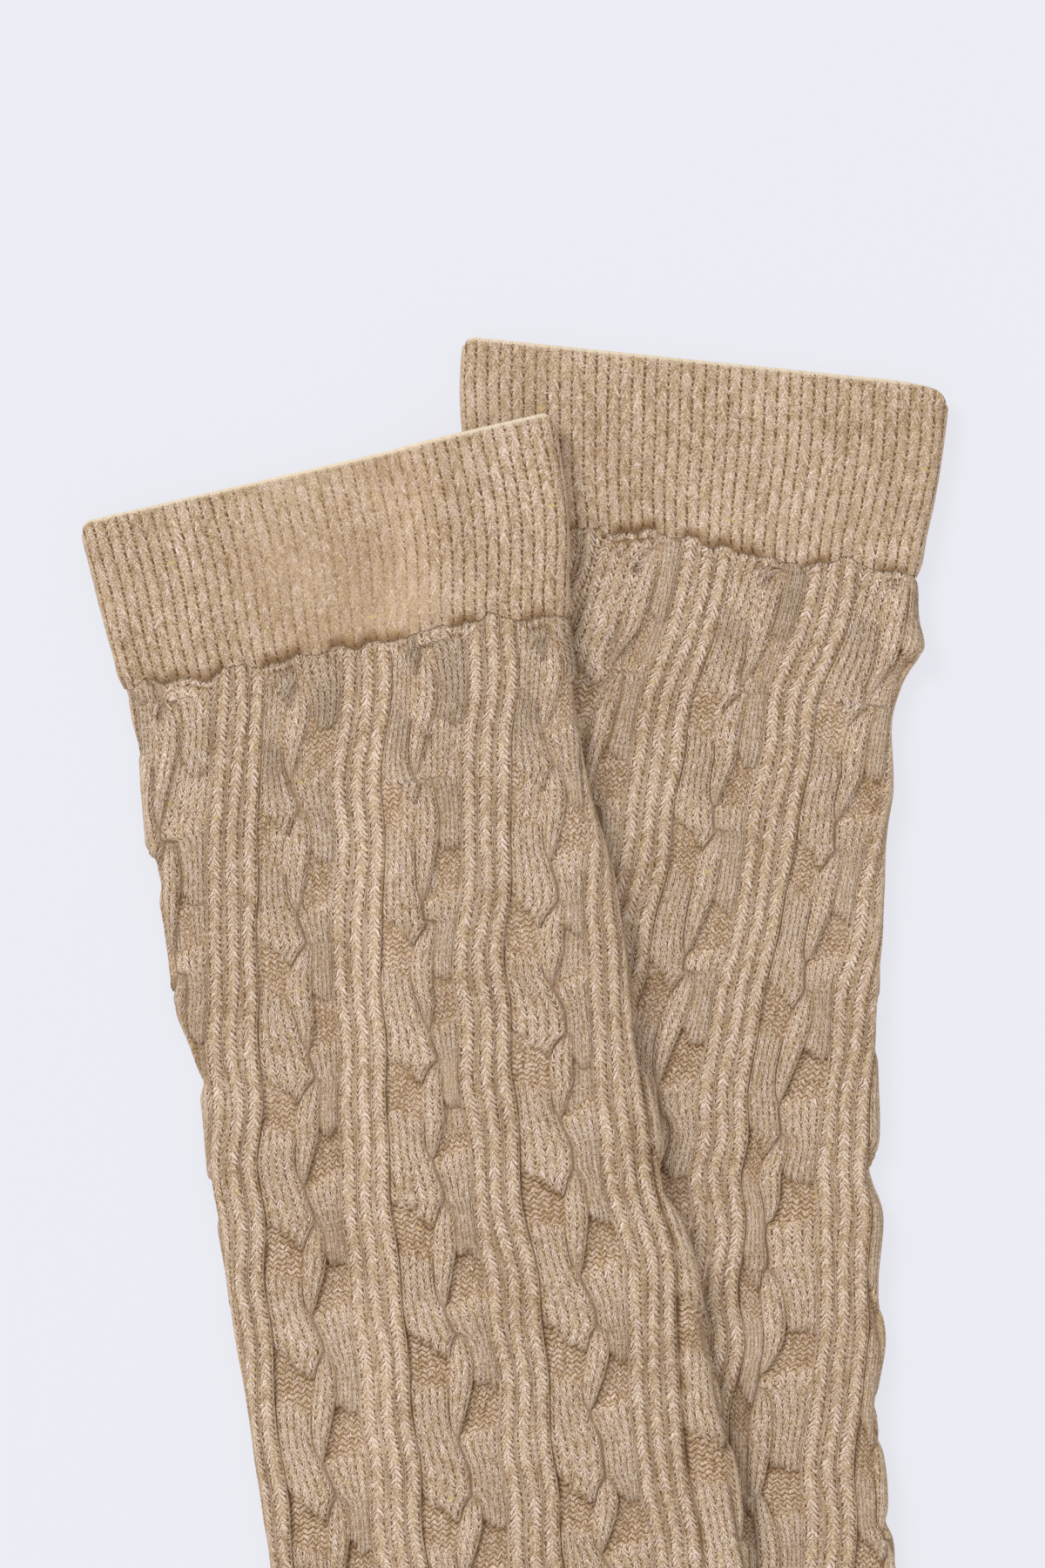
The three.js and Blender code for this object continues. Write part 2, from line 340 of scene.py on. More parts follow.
def step_up(value, start, end):
    """Rises smoothly from 0 to 1 between two values."""
    return add_node(value.tree, "ShaderNodeMapRange", {"interpolation_type": "SMOOTHSTEP"},
                    {0: value, 1: start, 2: end})


def mix_colours(tree, share, first, second, blend="MIX"):
    """The first colour, changed by a share towards the second or towards their product."""
    return add_node(tree, "ShaderNodeMix", {"data_type": "RGBA", "blend_type": blend},
                    {0: share, 6: first, 7: second}, 2)


# The wool's fibres, from the darkest to the palest tips, its flecks and its dyes; then the painted
# shade of the deep gaps, its amber tint, and the cream of a painted highlight
# painted shade: the colour the gaps and creases are darkened towards
DEEP_SHADE = (0.100, 0.048, 0.018, 1)
BROWN = (0.240, 0.149, 0.081, 1)
GOLDEN = (0.446, 0.326, 0.208, 1)
TAN = (0.634, 0.499, 0.366, 1)
PALE = (0.950, 0.838, 0.726, 1)
FLECK = (0.740, 0.570, 0.180, 1)
HONEY_DYE = (1.0, 0.962, 0.860, 1)
ROSE_DYE = (0.985, 0.936, 1.0, 1)
# painted shade: the warm tint of shaded parts
AMBER_SHADE = (1.0, 0.870, 0.680, 1)
# painted highlight along the cuff's top fold
RIM_HIGHLIGHT = (0.830, 0.720, 0.550, 1)
FIBRE_TONES = [(0.10, BROWN), (0.36, GOLDEN), (0.58, TAN), (0.88, PALE)]


def heathered_knit(name, leg_slope, stitch_depth, stroke_shade, streaks, gap_shade, level):
    """Knitted wool of mixed fibres. Every stitch is two slanting legs that meet at the top: a leg
    is a ridge of course count less slope times the distance from the wale's middle. Each leg has
    its own tone, streaked along its fibres and along the strand. Painted shade darkens a stroke
    between legs, dots in the gaps between wales, lines between the zigzags of the hollows and
    wherever the crease mask is set, and it turns these dark parts amber. Where the hollow mask
    is 1 the back of the knit shows, as rows of low zigzags, a little darker as painted shade.
    The rim mask marks a painted highlight in cream. The felt mask softens and flattens the
    stitches where they are felted, squeezed or turned over a fold."""
    material = bpy.data.materials.new(name)
    material.use_nodes = True
    tree = material.node_tree
    shader = tree.nodes["Principled BSDF"]

    uv = add_node(tree, "ShaderNodeUVMap", {"uv_map": "stitches"}, {})
    wale = add_node(tree, "ShaderNodeSeparateXYZ", {}, {0: uv}, 0)
    course = add_node(tree, "ShaderNodeSeparateXYZ", {}, {0: uv}, 1)
    hollow, crease, pale, felt = (
        add_node(tree, "ShaderNodeAttribute", {"attribute_name": mask}, {}, 2)
        for mask in ("hollow", "crease", "rim", "felt"))
    place = add_node(tree, "ShaderNodeTexCoord", {}, {}, 3)

    jitter = noise(uv, 0.9, 3.0, flat=True) - 0.5
    centre = (wale + jitter * 0.2).math("ROUND")
    off = wale + jitter * 0.2 - centre
    side = off.math("SIGN")
    out = off.math("ABSOLUTE")
    leg = course + jitter * 1.1 - out * leg_slope
    leg_ridge = ridge(leg)
    body = 1 - (out * 2) ** 4

    zigzag = (wale * 0.85 + jitter * 0.3).math("FRACT") - 0.5
    rows = ridge(course * 1.1 + zigzag.math("ABSOLUTE") * 1.4 + jitter)

    cell = add_node(tree, "ShaderNodeCombineXYZ", {}, {0: centre + side * 0.25, 1: leg.math("ROUND")})
    tone = add_node(tree, "ShaderNodeTexWhiteNoise", {"noise_dimensions": "2D"}, {"Vector": cell}, 0)
    streak_at = add_node(tree, "ShaderNodeCombineXYZ", {}, {0: wale * 2.0 + side * 3, 1: leg * 3.4})
    streak = noise(streak_at, 1.0, 3.0, flat=True, roughness=0.7)
    tint = noise(streak_at, 0.5, 3.0, flat=True, roughness=0.8)
    strand_at = add_node(tree, "ShaderNodeCombineXYZ", {}, {0: wale * 1.5, 1: course * 0.3})
    strand = noise(strand_at, 1.0, 2.0, flat=True, roughness=0.6)
    fibre = noise(place, 4500.0, 1.0)
    wisp = noise(place, 700.0, 0.0)
    hair = step_up((wisp - 0.5).math("ABSOLUTE"), 0.035, 0.0)
    blotch = noise(place, 90.0, 3.0)

    # Painted shade: a dark stroke between the two legs of each stitch
    stroke = step_up(leg_ridge, 0.34, 0.0) * step_up(out, 0.02, 0.12) * (1 - hollow)
    stroke = stroke * (1 - felt * 0.6) * (streak * 1.4 + strand * 2.0 - 1.25)
    mixed = (tone - 0.5) * 0.2 + (streak - 0.5) * streaks + (fibre - 0.5) * 1.3
    mixed = (mixed + (strand - 0.5) * streaks * 0.35) * (1 - felt * 0.5) + (blotch - 0.5) * 0.3
    # lower in the hollows, as painted shade
    mixed = mixed + level + hair * 0.15 - hollow * 0.07 - felt * 0.06
    colour = add_node(tree, "ShaderNodeValToRGB", {"stops": FIBRE_TONES}, {0: mixed})

    # Painted shade: dark dots in the gaps between wales, none on the painted highlight of the rim
    gap = step_up(out, 0.32, 0.46) * (ridge(leg + 0.5 + jitter) ** 2) * gap_shade
    gap = gap * (1 - hollow) * (1 - felt * 0.75) * (1 - pale)
    # Painted shade between the zigzag rows of the hollows
    between = step_up(rows, 0.36, 0.02) * hollow * (streak * 1.3)
    # The crease mask is painted shade in creases, grooves, eyelets and under the lips, streaked
    crease = crease * (streak * 2.0 + fibre - 0.5)
    # all these darks are painted shade
    dark = (gap + between + crease + stroke * stroke_shade).math("MINIMUM", 0.9)
    dye = mix_colours(tree, step_up(tint + (strand - 0.5) * 0.5, 0.36, 0.64), HONEY_DYE, ROSE_DYE)
    colour = mix_colours(tree, 1.0, colour, dye, "MULTIPLY")
    # Painted shade: the dark parts, and the hollows a little, turn amber
    amber = (dark * 1.5 + hollow * 0.2).math("MINIMUM", 1.0)
    colour = mix_colours(tree, amber, colour, AMBER_SHADE, "MULTIPLY")
    speck = add_node(tree, "ShaderNodeTexVoronoi", {"voronoi_dimensions": "2D"},
                     {"Vector": uv, "Scale": 0.045})
    colour = mix_colours(tree, step_up(speck, 0.018, 0.008) * 0.6, colour, FLECK)
    # Painted highlight: cream along the cuff's top fold, where the rim mask is 1
    colour = mix_colours(tree, pale * 0.85, colour, RIM_HIGHLIGHT)
    # Painted shade: the dark parts mixed towards the deep shade colour
    colour = mix_colours(tree, dark, colour, DEEP_SHADE)
    tree.links.new(colour.socket, shader.inputs["Base Color"])

    height = (leg_ridge * 0.5 + 0.5) * body * (1 - felt * 0.6)
    height = height * (1 - hollow) + rows * hollow * (1 - felt) * 0.8
    height = height + (streak - 0.5) * (1 - felt) * 0.5 + (fibre - 0.5) * 0.2 + hair * 0.12
    bump = add_node(tree, "ShaderNodeBump", {}, {"Strength": 1.0, "Distance": stitch_depth * MM,
                                                 "Height": height})
    tree.links.new(bump.socket, shader.inputs["Normal"])
    shader.inputs["Roughness"].default_value = 0.95
    shader.inputs["Specular IOR Level"].default_value = 0.1
    shader.inputs["Sheen Weight"].default_value = 0.08
    shader.inputs["Sheen Roughness"].default_value = 0.6
    shader.inputs["Sheen Tint"].default_value = (0.95, 0.82, 0.70, 1)
    return material


CUFF_WALES = 84        # fine ribs round a cuff
CUFF_COURSE = 1.08     # height of a row of stitches
CUFF_RELIEF = 0.15     # from the top of a rib to the gap between two
CUFF_STEP = 0.36       # from one row of the mesh to the next
WELT_DEPTH = 0.24      # how far the cuff's skin lies below the tube's outline
PUFF = 0.2             # how far it swells just above the joining row
CORNER_FADE = 10.0     # how far from the mouth the rounding of its corners dies out
WALE_COLUMNS = np.array([-0.5, -0.36, -0.13, 0.13, 0.36])     # mesh columns across one rib
SEAM_FADE = 9.0        # how far from the joining row its wander dies out
LIP = 0.24             # thickness of the welt's thin lip, which lies over the start of the leg
LIP_REACH = 0.9        # and how far it reaches over it
LIP_DROP = 0.34        # how far the lip's edge sinks below the welt's outer skin
LIP_ROUND = 2.2        # over this length
LIP_STEP = 0.3         # how far the cloth behind the lip is set back
LIP_CLEAR = 0.05       # between the lip's underside and that step

# How far the cuff's lower edge wanders from straight, as (across, along), and the roundness of
# its two top corners, as (width, height).
SEAM_WANDER = {
    "lower": [(-40, -0.6), (-21, -1.0), (-9, -3.0), (0, -2.0), (16, -0.2), (24, -1.2), (40, -0.8)],
    "upper": [(-40, -0.7), (-29, -0.4), (-8, -1.8), (13, -2.1), (18, -3.2), (32, -1.8), (40, -1.4)],
}
CORNERS = {"lower": ((2.5, 2.0), (12.0, 4.0)), "upper": ((3.0, 3.0), (2.5, 2.5))}


def seam_wander(sock, s):
    """The joining row's wander round the tube: as listed on the front, mirrored on the back."""
    half_round = 42.0
    place = np.where(np.abs(s) < half_round, s, np.sign(s) * (2 * half_round - np.abs(s)))
    across, along = np.array(SEAM_WANDER[sock.name]).T
    bumps = 0.8 * waviness(5, 0, s, 12.0) + 0.5 * waviness(6, 0, s, 5.0)
    return np.interp(place, across, along) + bumps


def seam_notch(s):
    """Where the joining row is drawn in and shows a dark notch of painted shade: 1 there and 0
    between.
    """
    return smooth(0.55 + 1.2 * waviness(43, 0, s, 7.0))


def corner_drop(sock, v, s):
    """How far the mouth's edge comes down at a corner: a quarter of an ellipse on the front, and
    the corner's height all along the back."""
    half = sock.sections(v)[2] / 2
    drop = 0
    for hand, (wide, tall) in zip((-1, 1), CORNERS[sock.name]):
        reach = np.clip((hand * s - (half - wide)) / wide, 0, 1)
        drop = drop + tall * (1 - np.sqrt(1 - np.minimum(reach, 0.999) ** 2))
    return drop


def welt_rows(start, stop):
    """The welt's section as a ring of rows: a round mouth at the start, and at the end a lip,
    half a circle of its thickness, that overhangs a lower step where the leg is joined."""
    v, depth, share = wall_rows(start, stop, CUFF_STEP, MOUTH_WALL)
    outer = int(np.argmax(depth > 0))
    turn = np.linspace(0, np.pi, 6)
    lip = stop + LIP_REACH - LIP / 2 * (1 - np.sin(turn))
    step_back = stop - LIP_STEP
    skin_v = np.append(v[:outer - 1, 0], stop - 2 * LIP_STEP)
    rest = outer + len(END_TURN) + 1
    v = np.concatenate([skin_v, lip, [step_back, step_back], v[rest:, 0]])
    depth = np.concatenate([0 * skin_v, LIP / 2 * (1 - np.cos(turn)), [LIP + LIP_CLEAR, WALL],
                            depth[rest:, 0]])
    share = np.concatenate([1 + 0 * skin_v, smooth((1 + np.cos(turn)) / 2), [0, 0],
                            share[rest:, 0]])
    return v[:, None], depth[:, None], share[:, None]


def cuff(sock, material):
    """A cuff's wall with its ribs. A rib's height is the square root of one less the seventh
    power of the distance from its middle, so it has a flat top and steep sides. The skin is a
    little uneven, swells just above the joining row and sinks along the lip, whose edge is
    scalloped. The middle of the upper cuff's front is felted and nearly level."""
    first, last = PIECE_ROWS["cuff"]
    start, stop = sock.along[first], sock.along[last] - SEAM_GAP / 2
    v, depth, share = welt_rows(start, stop)
    ribs = np.arange(CUFF_WALES) - CUFF_WALES / 2
    wales = np.append((ribs[:, None] + 0.5 + WALE_COLUMNS).ravel(), CUFF_WALES / 2)[None]
    s = wales / CUFF_WALES * sock.girth(v) + 0.25 * waviness(11, v, 0, 28.0)
    near_seam = smooth(1 - (stop - v) / SEAM_FADE)
    from_rib = np.abs(np.mod(wales, 1.0) - 0.5) * 2
    rib = np.sqrt(1 - np.minimum(from_rib, 0.98) ** 7)
    felt = 0.1 + 0 * s
    if sock is upper:
        felt = np.exp(-((s - 1) / 19) ** 4) * (0.72 + 0.2 * waviness(13, v, s, 20.0))
    near_lip = smooth((stop - v) / 1.6)
    relief = CUFF_RELIEF * (1 - 0.6 * felt) * (1 - rib) * smooth(v / 2.0)
    puff = PUFF * smooth(1 - np.abs(stop - 2.5 - v) / 4)
    relief = relief + WELT_DEPTH + 0.07 * waviness(12, v, s, 26.0) * near_lip
    depth = depth + (relief - puff) * share
    at_lip = smooth((v - (stop + LIP_REACH - LIP_ROUND)) / LIP_ROUND) * (depth < 1)
    depth = depth + LIP_DROP * at_lip
    scallop = 0.2 + 0.3 * waviness(14, 0, s, 5.0)
    v = v - scallop * from_rib**3 * at_lip
    # Painted shade on the cuff's last stretch above each notch of the joining row
    notch_shade = 0.7 * seam_notch(s) * smooth(1 - (stop + LIP_REACH - v) / 2.4)
    v = v + near_seam * seam_wander(sock, s)
    v = v + smooth(1 - v / CORNER_FADE) * corner_drop(sock, v, s)
    points = skin(sock, v, s, depth)
    # The crease mask here is all painted shade: in the grooves between ribs, above each notch and
    # under the lip
    groove = 0.18 * (from_rib > 0.99) * (1 - felt) * smooth(v / 2.0)
    # painted shade under the lip, stronger at the notches
    under_lip = (0.2 + 0.3 * seam_notch(s)) * at_lip * (share < 0.9)
    # The rim mask marks a painted highlight along the mouth's top fold
    masks = {"hollow": 0.0 * s, "crease": (groove + notch_shade) * share + under_lip,
             "rim": smooth(1.7 - v / 0.9) * (share > 0), "felt": felt}
    piece = knit_mesh(f"{sock.name}_cuff_knit", points, wales + 0 * s + 0.5, v / CUFF_COURSE, masks,
                      CUFF_WALES)
    piece.data.materials.append(material)
    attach(piece, "root")
    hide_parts(f"{sock.name}_cuff")
    return piece


# The cuff's tone level is set below the leg's as painted shade, since its flat face takes more light
# than the leg's relief
cuff_knit = heathered_knit("cuff_knit", leg_slope=3.2, stitch_depth=0.13, stroke_shade=0.35,
                           streaks=0.8, gap_shade=0.95, level=0.505)
for sock in (lower, upper):
    piece = cuff(sock, cuff_knit)


# ---- The legs --------------------------------------------
# The long legs are knitted round in one with the rest: seven cables, each of two side strands
# that end in turn over hollows and a short strand that crosses between them, and three round
# ribs between each cable and the next.
COURSE = 1.05          # height of a row of stitches
RIB = 3.07             # from one rib to the next
RIB_GROUP = 1.5 * RIB  # half the width of three ribs
REPEATS = 7            # cables round the leg
REPEAT_WALES = 19      # six across the ribs, five in each side strand, three in the crossing one
LEG_RELIEF = {"lower": 1.5, "upper": 1.65}     # from a strand's top to its hollow's floor
FLOOR = 0.14           # height of a hollow's floor, as a share of the relief
CROSS_EARLY = 4.0      # a crossing strand starts this far before the left strand's end
CROSS_LATE = 6.3       # and ends this far after the right strand's end
CROSS_LENGTH = 14.0    # the right strand that it goes with ends within this of the left one
CROSS_HALF = 2.1       # its half width at its widest
CROSS_TIP = 0.2        # and at its tips
STRAND_LEAST = 3.4     # the least width left for a side strand
LEG_STEP = 0.64        # from one row of the mesh to the next
LEAST_STEP = 0.02      # and the least from one column to the next
JOIN_GAP = 0.04        # between leg, heel, foot and toe, which are knitted on from each other
TONGUE = 0.9           # thickness of the leg's edge where it lies under the cuff's lip
TONGUE_CLEAR = 0.04    # between the two
LEAST_WALL = 0.3       # the least cloth left under the deepest hollow

# Across one rib: distance from its middle, the wale count there, the height and the painted
# # crease shade. A round column of stitches, then a flat band and a thin dark line of painted
# # shade. The back needs fewer columns.
RIB_LINES = np.array([
    (-1.535, -1.0, 0.60, 0.32), (-1.41, -0.85, 0.66, 0.16), (-1.08, -0.5, 0.69, 0.09),
    (-0.80, -0.36, 0.73, 0.05), (-0.25, -0.12, 0.77, 0.02), (0.35, 0.16, 0.78, 0.02),
    (0.85, 0.38, 0.76, 0.03), (1.12, 0.5, 0.71, 0.10), (1.42, 0.85, 0.67, 0.17),
])
FRONT_LINES = (RIB_LINES,
               np.array([0, 0.04, 0.1, 0.2, 0.3, 0.4, 0.5, 0.6, 0.7, 0.8, 0.9, 0.97]),
               np.array([0, 0.05, 0.167, 0.333, 0.5, 0.667, 0.833, 0.95]))
BACK_LINES = (RIB_LINES[[0, 2, 4, 7]], np.array([0, 0.1, 0.3, 0.5, 0.7, 0.9]),
              np.array([0, 0.167, 0.5, 0.833]))

# Where the pattern lies on each sock, in millimetres along the tube from the mouth:
# ribs: (along, across) of the three ribs left of the middle cable; pitch: (along, one repeat);
# divide: (along, from those ribs to the cable's middle line); left and right: where the side
# strands end, for the three cables on the front and then for the one hidden under the left edge.
PATTERN = {
    "lower": {
        "ribs": [(30, 24.6), (85, 18.7), (130, 12.0), (152, 11.0), (183, 9.8), (216, 6.0), (360, 0)],
        "pitch": [(30, 22.6), (70, 22.1), (216, 22.2)],
        "divide": [(34, 14.4), (73, 12.0), (99, 11.3), (130, 10.8), (170, 7.4), (185, 7.4),
                   (216, 11.0)],
        "left": [[16.0, 39.3, 61.7, 86.8, 112.3, 138.0, 162.5, 186.0, 208.0],
                 [14.0, 37.3, 61.7, 88.9, 114.6, 141.2, 165.2, 186.3, 205.5],
                 [18.0, 42.0, 66.0, 92.0, 118.0, 144.0, 169.5, 194.0, 214.0],
                 [17.0, 40.2, 60.5, 84.0, 110.0, 135.0, 160.0, 184.0, 206.0]],
        "right": [[25.0, 49.5, 72.2, 98.6, 121.8, 146.0, 171.0, 196.0, 217.0],
                  [24.0, 49.8, 72.5, 99.1, 124.4, 147.0, 174.0, 198.6, 219.0],
                  [28.0, 52.0, 75.0, 102.0, 127.0, 152.0, 178.5, 202.0, 224.0],
                  [24.0, 48.7, 73.1, 94.0, 119.0, 144.0, 168.0, 192.0, 215.0]],
    },
    "upper": {
        "ribs": [(30, 4.5), (38, 3.0), (95, -9.2), (143, -14.5), (190, -18.5), (216, -19), (360, -8)],
        "pitch": [(38, 22.6), (100, 22.7), (147, 24.0), (216, 23.4)],
        "divide": [(36, 9.8), (95, 13.3), (143, 13.0), (190, 12.2), (216, 11.4)],
        "left": [[19.0, 41.8, 63.6, 86.6, 110.3, 135.6, 158.6, 184.0, 208.0],
                 [17.0, 40.0, 62.0, 86.3, 110.7, 135.6, 158.8, 187.3, 211.0],
                 [18.0, 41.0, 64.0, 86.9, 110.2, 134.3, 161.9, 188.5, 212.0],
                 [19.0, 41.0, 64.5, 88.0, 112.0, 136.0, 160.0, 185.0, 209.0]],
        "right": [[25.0, 47.0, 70.4, 94.5, 117.8, 140.8, 166.5, 191.0, 215.0],
                  [27.0, 50.3, 72.0, 94.3, 117.1, 143.1, 166.0, 190.8, 216.0],
                  [23.0, 46.4, 68.8, 90.5, 114.0, 141.5, 165.7, 190.5, 215.0],
                  [28.0, 51.4, 74.0, 98.0, 122.0, 146.0, 170.0, 194.0, 218.0]],
    },
}
# Where a strand stands out over a folded edge: (along, round, length, width, height)
BULGES = {"lower": [(46.5, 40.5, 4.2, 3.5, 2.0), (72.0, 40.5, 6.0, 4.0, 0.7)],
          "upper": [(64.0, -40.0, 6.0, 4.0, 0.8), (88.0, -40.0, 6.0, 4.0, 0.6)]}
SPARE_ENDS = np.arange(1, 9) * 24.2     # the strands go on at an even pace to the toe


def strand_ends(pattern, side, cable):
    """Where one side's strands end along a cable. The hidden cables share the left edge's list,
    each a little off."""
    row = cable if cable < 3 else 3
    ends = np.array(pattern[side][row])
    drift = np.random.default_rng(70 + cable).uniform(-1.5, 1.5, len(ends)) * (3 <= cable <= 5)
    return np.concatenate([ends + drift, ends[-1] + SPARE_ENDS])


def around(ends, v):
    """The last end at or before each place and the next one after it."""
    after = np.clip(np.searchsorted(ends, v, side="right"), 1, len(ends) - 1)
    return ends[after - 1], ends[after]


def side_strand(v, ends, out, cut, rise_from, rise_over, ridges):
    """A side strand's height at a share out from the cable's middle: it rises softly from the
    hollow after the last strand's end, runs in a low dome with a cosine ridge on each of its
    five wales, and sinks in a quarter circle at its own end. cut is how much sooner than at its
    tip it ends there. Also gives the hollow and the shade under the end."""
    before, after = around(ends, v + cut)
    rise = smooth((v - before - rise_from) / rise_over)
    left = after - cut - v
    slope = 1.0 + 1.6 * out
    lip = np.sqrt(1 - (1 - np.clip(left / slope, 0, 1)) ** 2)
    swell = 0.78 + 0.22 * smooth((v - before) / (after - before) * 1.2)
    dome = 0.68 + 0.32 * np.sqrt(np.clip(1 - np.abs(2 * out - 1) ** 2.2, 0, 1))
    height = FLOOR + ((1 - FLOOR) * swell * dome - ridges * np.cos(10 * np.pi * out)) * rise
    height = FLOOR * 0.5 + (height - FLOOR * 0.5) * lip
    past = v - (before - cut)
    shade = (0.60 - 0.35 * out) * np.exp(-((past - 0.15) / 0.6) ** 2) * (rise < 0.6)
    return height, smooth((0.62 - rise) / 0.3), shade


def rib_bend(v, cable, rib):
    """How far one of the three ribs left of a cable strays sideways."""
    bend = 0.30 * waviness(36 + rib, v, cable * 23, 22.0) * (1 - np.abs(rib) * 0.4)
    return bend + 0.35 * waviness(46, v, cable * 23, 15.0)


def cable_repeat(pattern, cable, v, pitch, divide, sway, lines):
    """One repeat of the pattern from its first rib's left side to the next repeat's: places
    across in millimetres, heights from 0 to 1 and the masks, for every row and column. The
    crossing strand swings from right to left as t goes from 0 to 1, and then back."""
    rib_lines, side_lines, cross_lines = lines
    left_ends = strand_ends(pattern, "left", cable)
    right_ends = strand_ends(pattern, "right", cable)
    before, _ = around(left_ends - CROSS_EARLY, v)
    before = before + CROSS_EARLY
    own_right, _ = around(right_ends, before + CROSS_LENGTH)
    t = (v - (before - CROSS_EARLY)) / (own_right + CROSS_LATE - before + CROSS_EARLY)
    lens = np.clip(np.sin(np.pi * np.clip(t, 0, 1) ** 0.8), 0, 1) ** 0.6
    half = CROSS_TIP + (CROSS_HALF - CROSS_TIP) * lens
    axis = 0.9 - 1.7 * smooth((t - 0.25) / 0.75) + 1.7 * smooth((t - 1) / 0.45) + 0.3 * sway
    room = half + RIB_GROUP + STRAND_LEAST
    middle = np.clip(divide + axis, room, pitch - room)

    places, heights, hollows, crease_shades = [], [], [], []
    across, _, crest, line = rib_lines.T
    for rib in (-1, 0, 1):
        places.append(rib * RIB + across + rib_bend(v, cable, rib))
        uneven = 0.06 * waviness(32 + rib, v, cable * 23 + rib * RIB, 12.0)
        heights.append(crest + uneven * (np.abs(across) < 1))
        hollows.append(0 * v + 0 * across)
        # Painted shade along each rib's thin dark line, stronger in some places than others
        darkness = 0.85 + 0.5 * waviness(37, v, cable * 23 + rib * RIB, 11.0)
        crease_shades.append(line * darkness * (1 if rib > -1 else 0.8))

    ridges = 0.055 + 0.12 * smooth(1 - (v - 38) / 32)
    out = 1 - side_lines
    near = RIB_GROUP + rib_bend(v, cable, 1)
    places.append(near + (middle - half - near) * side_lines)
    ragged = 0.6 * waviness(39, v, cable * 23 + 6 * side_lines, 5.0)
    height, hollow, shade = side_strand(v, left_ends, out, 6.0 * out**1.15 + ragged * out,
                                        3.5 - 3.0 * out, 4.5,
                                        ridges * smooth((middle - half - near - 2) / 3))
    edge = side_lines == 0
    groove = 0.8 + 0.5 * waviness(38, v, cable * 23, 8.0)
    heights.append(height - (0.20 + 0.10 * groove) * edge * height)
    hollows.append(hollow)
    # Painted shade along the strand's edge by the ribs and just beside it, and, from shade, under the
    # strand's end
    beside = np.exp(-(side_lines / 0.07) ** 2)
    crease_shades.append(shade + (0.45 * edge + 0.25 * beside) * groove)

    crown = np.sqrt(1 - np.abs(2 * cross_lines - 1) ** 3)
    places.append(middle - half + 2 * half * cross_lines)
    rising = smooth(t / 0.25)
    falling = np.sqrt(1 - (1 - np.clip((1 - t) / 0.12, 0, 1)) ** 2)
    stand = 0.40 + 0.70 * rising * falling
    low_edge = 0.36 - 0.14 * lens
    strand = low_edge + (stand - low_edge) * crown * lens**0.3
    heights.append(np.where(t < 1, strand, 0.40 + 0 * crown))
    hollows.append(0 * v + 0 * cross_lines)
    edge = cross_lines == 0
    # Painted shade along the crossing strand's edge, and a little across the stretch after its end
    crease_shades.append(np.where(t < 1, 0.35 * edge, 0.18 - 0.1 * crown))

    far = pitch - RIB_GROUP + rib_bend(v, (cable + 1) % REPEATS, -1)
    places.append(middle + half + (far - middle - half) * side_lines)
    cut = 3.0 * (1 - side_lines) ** 1.5 + 1.2 * side_lines**2 + ragged
    height, hollow, shade = side_strand(v, right_ends, side_lines, cut, 5.0 - 2.0 * side_lines, 4.5,
                                        ridges * smooth((far - middle - half - 2) / 3))
    edge = side_lines == 0
    heights.append(height - 0.15 * edge * height)
    hollows.append(hollow)
    # Painted shade along the right strand's edge, weaker past the crossing, and under its end
    crease_shades.append(shade + (0.34 * edge + 0.22 * beside) * (1 - 0.6 * (t > 1)))
    return [np.concatenate(parts, 1) for parts in (places, heights, hollows, crease_shades)]


def cable_pattern(sock, v):
    """The whole round of the pattern: each repeat's columns laid side by side from the ribs left
    of the first front cable. A repeat's sway blends into the next one's across it, and no column
    comes nearer to the last than a least step. Gives the places round the tube, wale counts,
    heights and masks; squeeze is 1 where a wale is much narrower than a stitch."""
    pattern = PATTERN[sock.name]
    rib_line, pitch, divide = (
        np.interp(v, *np.array(pattern[key]).T) for key in ("ribs", "pitch", "divide"))
    back_pitch = (sock.girth(v) - 3 * pitch) / (REPEATS - 3)
    ahead = rib_line - pitch
    columns_of = {"s": [], "wales": [], "height": [], "hollow": [], "crease": []}
    for cable in range(REPEATS):
        lines = FRONT_LINES if cable < 3 else BACK_LINES
        wales = np.concatenate([2 * rib + lines[0][:, 1] for rib in (-1, 0, 1)]
                               + [3 + 5 * lines[1], 8 + 3 * lines[2], 11 + 5 * lines[1]])
        here = pitch if cable < 3 else back_pitch
        sway = waviness(31 + cable, v, 0, 30.0)
        next_sway = waviness(31 + (cable + 1) % REPEATS, v, 0, 30.0)
        place, height, hollow, crease = cable_repeat(
            pattern, cable, v, here, divide * here / pitch, sway, lines)
        through = (place + RIB_GROUP) / here
        columns_of["s"].append(ahead + place + 0.7 * (sway + (next_sway - sway) * through))
        columns_of["wales"].append(REPEAT_WALES * cable + wales + 0 * v)
        columns_of["height"].append(height)
        columns_of["hollow"].append(hollow)
        columns_of["crease"].append(crease)
        ahead = ahead + here
    whole = {key: np.concatenate(parts, 1) for key, parts in columns_of.items()}
    spread = LEAST_STEP * np.arange(whole["s"].shape[1])
    whole["s"] = np.maximum.accumulate(whole["s"] - spread, axis=1) + spread
    wale_width = np.gradient(whole["s"], axis=1) / np.gradient(whole["wales"], axis=1)
    whole["squeeze"] = smooth((0.85 - wale_width) / 0.5)
    closing = {key: values[:, :1] for key, values in whole.items()}
    closing["wales"] = closing["wales"] + REPEAT_WALES * REPEATS
    whole = {key: np.concatenate([values, closing[key]], 1) for key, values in whole.items()}
    girth = sock.girth(v)
    whole["s"] = np.mod(whole["s"] + girth / 2, girth) - girth / 2
    return whole


